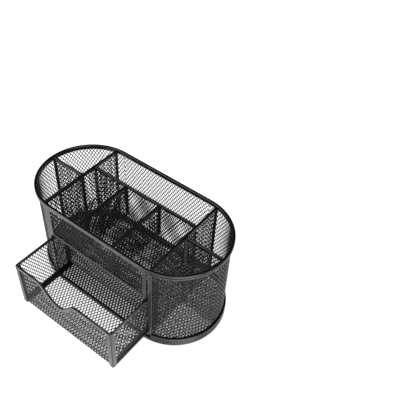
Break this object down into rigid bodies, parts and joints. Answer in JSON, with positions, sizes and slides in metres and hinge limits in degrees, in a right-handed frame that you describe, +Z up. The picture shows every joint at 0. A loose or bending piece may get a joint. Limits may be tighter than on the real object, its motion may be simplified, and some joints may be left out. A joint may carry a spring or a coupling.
{
  "type": "mesh desk organizer",
  "caption": "Oval steel-mesh desk organizer with upright compartments, a raised tray and a sliding drawer with a finger dip.",
  "frame": {"origin": "middle of the oval plan, on the surface that the organizer stands on", "axes": "+X along the length, to the right as seen from the drawer's side; the drawer opens towards -Y; +Z up"},
  "size_m": [0.2232, 0.1558, 0.1106],
  "materials": {
    "mesh": "satin powder coat on expanded steel mesh",
    "rolled_channel": "semi-gloss powder coat on rolled steel",
    "wire": "semi-gloss powder coat on steel wire",
    "edge_strip": "semi-gloss powder coat on steel strip"
  },
  "bodies": {
    "organizer": {"back_wall": "mesh", "base_floor": "mesh", "base_ring": "rolled_channel", "front_panel": "mesh", "front_panel_hem": "edge_strip", "front_panel_left_strip": "edge_strip", "front_panel_right_strip": "edge_strip", "left_divider": "mesh", "left_divider_back_strip": "edge_strip", "left_divider_wire": "wire", "left_end_divider": "mesh", "left_end_divider_inner_strip": "edge_strip", "left_end_divider_outer_strip": "edge_strip", "left_end_divider_wire": "wire", "left_end_wall": "mesh", "left_post": "edge_strip", "left_tray_divider": "mesh", "left_tray_divider_back_strip": "edge_strip", "left_tray_divider_wire": "wire", "long_divider": "mesh", "long_divider_left_strip": "edge_strip", "long_divider_right_strip": "edge_strip", "long_divider_wire": "wire", "right_divider": "mesh", "right_divider_back_strip": "edge_strip", "right_divider_wire": "wire", "right_end_divider": "mesh", "right_end_divider_inner_strip": "edge_strip", "right_end_divider_outer_strip": "edge_strip", "right_end_divider_wire": "wire", "right_end_wall": "mesh", "right_post": "edge_strip", "right_tray_divider": "mesh", "right_tray_divider_back_strip": "edge_strip", "right_tray_divider_wire": "wire", "top_rim": "rolled_channel", "tray_floor": "mesh", "wall_hem": "rolled_channel"},
    "drawer": {"drawer_back_trim": "edge_strip", "drawer_front_left_strip": "edge_strip", "drawer_front_right_strip": "edge_strip", "drawer_front_trim": "edge_strip", "drawer_left_back_strip": "edge_strip", "drawer_left_foot_trim": "edge_strip", "drawer_left_front_strip": "edge_strip", "drawer_left_side": "mesh", "drawer_left_top_trim": "edge_strip", "drawer_right_back_strip": "edge_strip", "drawer_right_foot_trim": "edge_strip", "drawer_right_front_strip": "edge_strip", "drawer_right_side": "mesh", "drawer_right_top_trim": "edge_strip", "drawer_shell": "mesh"}
  },
  "joints": [
    {"name": "drawer_slide", "type": "slide", "parent": "organizer", "child": "drawer", "axis": [0, -1, 0], "range_m": [-0.048, 0.01]}
  ]
}
